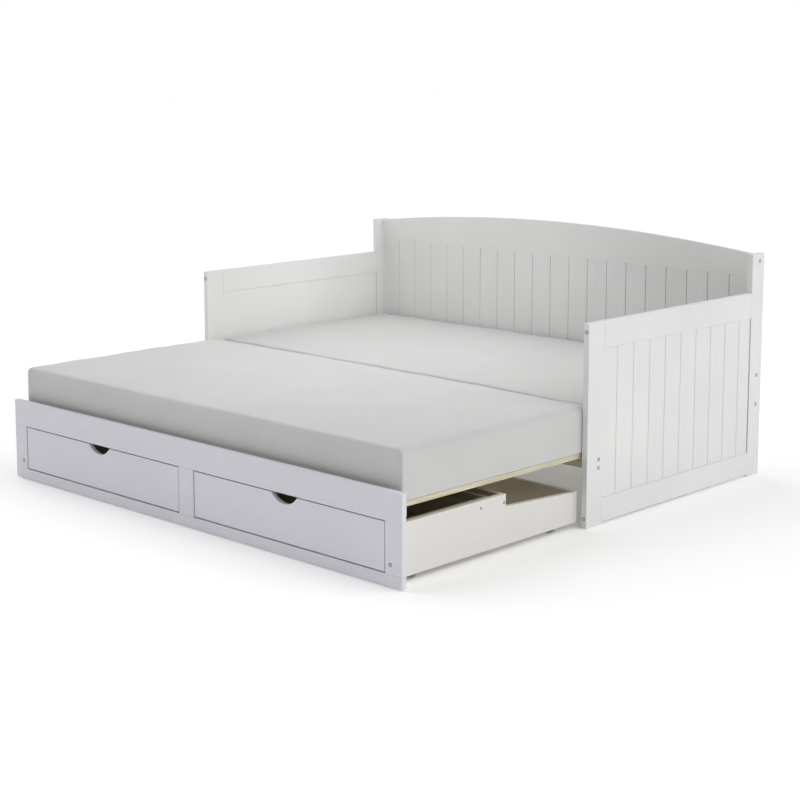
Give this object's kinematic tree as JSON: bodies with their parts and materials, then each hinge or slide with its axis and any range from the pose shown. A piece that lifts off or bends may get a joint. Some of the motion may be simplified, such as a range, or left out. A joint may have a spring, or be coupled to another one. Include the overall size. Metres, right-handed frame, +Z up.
{
  "type": "trundle bed",
  "caption": "White wooden daybed with a planked back and arms, a pull-out front half with drawers and interleaved slats, and two foam mattresses.",
  "frame": {"origin": "centre of the pulled-out bed's bounding box, on the floor", "axes": "+Z up, -Y towards the front of the pulled-out half, +X to the right as seen from the front"},
  "size_m": [2.06, 2.036, 0.923],
  "materials": {
    "white_paint": "satin white lacquer on pine, eased edges",
    "raw_pine": "sawn and planed pine, unfinished",
    "drawer_ply": "pale plywood, unfinished",
    "mattress_cover": "matt light grey knitted cover over foam",
    "caster_nylon": "matt moulded grey nylon",
    "zinc_steel": "dull bright zinc plating"
  },
  "bodies": {
    "daybed": {"back_post_left": "white_paint", "back_post_right": "white_paint", "back_top_rail": "white_paint", "back_panel": "white_paint", "back_bottom_rail": "white_paint", "arm_left_front_post": "white_paint", "arm_left_top_rail": "white_paint", "arm_left_bottom_rail": "white_paint", "arm_left_panel": "white_paint", "arm_right_front_post": "white_paint", "arm_right_top_rail": "white_paint", "arm_right_bottom_rail": "white_paint", "arm_right_panel": "white_paint", "front_cross_rail": "white_paint", "rear_slat_cleat": "raw_pine", "fixed_slat_1": "raw_pine", "fixed_slat_2": "raw_pine", "fixed_slat_3": "raw_pine", "fixed_slat_4": "raw_pine", "fixed_slat_5": "raw_pine", "rear_mattress": "mattress_cover"},
    "pullout_unit": {"front_top_rail": "white_paint", "front_bottom_rail": "white_paint", "front_stile_left": "white_paint", "front_stile_centre": "white_paint", "front_stile_right": "white_paint", "front_slat_cleat": "raw_pine", "box_side_left": "white_paint", "box_side_right": "white_paint", "box_cross_panel": "drawer_ply", "box_rear_board": "white_paint", "box_centre_divider": "drawer_ply", "drawer_runner_left": "raw_pine", "drawer_runner_right": "raw_pine", "slat_stop_batten": "raw_pine", "pullout_slat_1": "raw_pine", "pullout_slat_2": "raw_pine", "pullout_slat_3": "raw_pine", "pullout_slat_4": "raw_pine", "pullout_slat_5": "raw_pine", "pullout_slat_6": "raw_pine", "caster_bracket_front_left": "zinc_steel", "caster_bracket_front_right": "zinc_steel", "caster_bracket_rear_left": "zinc_steel", "caster_bracket_rear_right": "zinc_steel"},
    "drawer_left": {"drawer_left_front": "white_paint", "drawer_left_side_left": "drawer_ply", "drawer_left_side_right": "drawer_ply", "drawer_left_back": "drawer_ply", "drawer_left_bottom": "drawer_ply"},
    "drawer_right": {"drawer_right_front": "white_paint", "drawer_right_side_left": "drawer_ply", "drawer_right_side_right": "drawer_ply", "drawer_right_back": "drawer_ply", "drawer_right_bottom": "drawer_ply"},
    "wheel_front_left": {"caster_wheel_front_left": "caster_nylon"},
    "wheel_front_right": {"caster_wheel_front_right": "caster_nylon"},
    "wheel_rear_left": {"caster_wheel_rear_left": "caster_nylon"},
    "wheel_rear_right": {"caster_wheel_rear_right": "caster_nylon"},
    "front_mattress": {"front_mattress": "mattress_cover"}
  },
  "joints": [
    {"name": "pullout_slide", "type": "slide", "parent": "daybed", "child": "pullout_unit", "axis": [0, 1, 0], "range_m": [0, 0.912]},
    {"name": "drawer_left_slide", "type": "slide", "parent": "pullout_unit", "child": "drawer_left", "axis": [0, -1, 0], "range_m": [0, 0.38]},
    {"name": "drawer_right_slide", "type": "slide", "parent": "pullout_unit", "child": "drawer_right", "axis": [0, -1, 0], "range_m": [0, 0.38]},
    {"name": "wheel_front_left_spin", "type": "hinge", "parent": "pullout_unit", "child": "wheel_front_left", "pos_m": [-0.9487, -0.893, 0.025], "axis": [1, 0, 0], "continuous": true},
    {"name": "wheel_front_right_spin", "type": "hinge", "parent": "pullout_unit", "child": "wheel_front_right", "pos_m": [0.9487, -0.893, 0.025], "axis": [1, 0, 0], "continuous": true},
    {"name": "wheel_rear_left_spin", "type": "hinge", "parent": "pullout_unit", "child": "wheel_rear_left", "pos_m": [-0.9487, -0.199, 0.025], "axis": [1, 0, 0], "continuous": true},
    {"name": "wheel_rear_right_spin", "type": "hinge", "parent": "pullout_unit", "child": "wheel_rear_right", "pos_m": [0.9487, -0.199, 0.025], "axis": [1, 0, 0], "continuous": true},
    {"name": "mattress_fold", "type": "hinge", "parent": "daybed", "child": "front_mattress", "pos_m": [0, -0.026, 0.4305], "axis": [-1, 0, 0], "range_deg": [0, 180]}
  ],
  "couplings": [
    {"joint": "wheel_front_left_spin", "follows": "pullout_slide", "rad_per_m": -40},
    {"joint": "wheel_front_right_spin", "follows": "pullout_slide", "rad_per_m": -40},
    {"joint": "wheel_rear_left_spin", "follows": "pullout_slide", "rad_per_m": -40},
    {"joint": "wheel_rear_right_spin", "follows": "pullout_slide", "rad_per_m": -40},
    {"joint": "mattress_fold", "follows": "pullout_slide", "rad_per_m": 3.4447}
  ]
}
